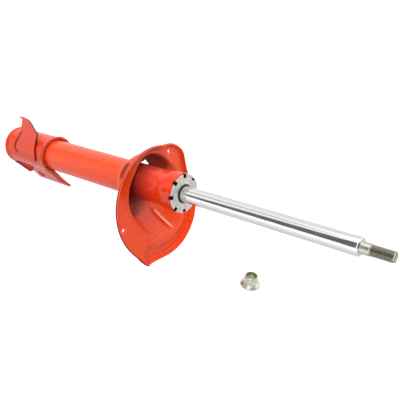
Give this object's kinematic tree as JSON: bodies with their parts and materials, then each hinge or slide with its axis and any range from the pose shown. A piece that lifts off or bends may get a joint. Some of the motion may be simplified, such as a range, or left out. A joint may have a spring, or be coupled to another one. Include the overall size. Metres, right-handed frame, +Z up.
{
  "type": "suspension strut",
  "caption": "Adjustable twin-tube suspension strut with clevis bracket, hose tab, offset helical spring seat, chromed rod and its loose flange nut.",
  "frame": {"origin": "on the floor, under the middle of the bounding box of the strut and its loose nut", "axes": "+Z up, +X along the strut's run over the floor from the clevis towards the rod's stud"},
  "size_m": [0.6058, 0.1448, 0.1775],
  "materials": {
    "bronze": "satin",
    "nut_zinc": "satin",
    "nylon": "satin",
    "ptfe": "matte",
    "red_enamel": "glossy",
    "rod_chrome": "polished",
    "rubber": "matte",
    "sintered": "matte",
    "spring_steel": "satin",
    "steel": "satin",
    "urethane": "matte",
    "zinc_bare": "satin"
  },
  "bodies": {
    "strut_body": {"outer_tube": "red_enamel", "base_cup": "red_enamel", "clevis_bracket": "red_enamel", "bracket_weld": "red_enamel", "hose_bracket": "red_enamel", "spring_seat": "red_enamel", "seat_weld": "red_enamel", "pressure_tube": "steel", "foot_valve_body": "sintered", "foot_valve_disc": "spring_steel", "foot_valve_pin": "steel", "foot_check_spring": "spring_steel", "rod_guide": "sintered", "guide_bush": "bronze", "seal_washer": "steel", "oil_seal": "rubber", "gland_o_ring": "rubber", "gland_nut": "zinc_bare", "dust_lip": "rubber"},
    "foot_check": {"foot_check_plate": "spring_steel"},
    "piston_ring": {"piston_band": "ptfe"},
    "rod": {"piston_rod": "rod_chrome", "piston_body": "sintered", "rebound_discs": "spring_steel", "piston_nut": "steel", "piston_check_spring": "spring_steel", "rebound_stop": "steel", "rebound_bumper": "urethane"},
    "piston_check": {"piston_check_plate": "spring_steel"},
    "adjuster": {"adjuster_shaft": "steel", "adjuster_shutter": "bronze", "adjuster_o_ring": "rubber"},
    "nut": {"flange_nut": "nut_zinc", "nut_insert": "nylon"}
  },
  "joints": [
    {"name": "rod_stroke", "type": "slide", "parent": "strut_body", "child": "piston_ring", "axis": [0.9812, 0, 0.1929], "range_m": [-0.19, 0], "stiffness_N_per_m": 100, "springref_m": 0.8},
    {"name": "rod_turn", "type": "hinge", "parent": "piston_ring", "child": "rod", "pos_m": [-0.05516, -0.01249, 0.1016], "axis": [0.9812, 0, 0.1929], "continuous": true},
    {"name": "piston_check_lift", "type": "slide", "parent": "rod", "child": "piston_check", "axis": [0.9812, 0, 0.1929], "range_m": [0, 0.001], "stiffness_N_per_m": 500, "springref_m": -0.002, "deforming": ["piston_check_spring"]},
    {"name": "foot_check_lift", "type": "slide", "parent": "strut_body", "child": "foot_check", "axis": [0.9812, 0, 0.1929], "range_m": [0, 0.001], "stiffness_N_per_m": 500, "springref_m": -0.002, "deforming": ["foot_check_spring"]},
    {"name": "adjuster_turn", "type": "hinge", "parent": "rod", "child": "adjuster", "pos_m": [0.29612, -0.01249, 0.17065], "axis": [0.9812, 0, 0.1929], "range_deg": [0, 270]},
    {"name": "nut_lift", "type": "slide", "parent": "strut_body", "child": "nut", "axis": [0, 0, 1], "range_m": [0, 0.1]}
  ]
}
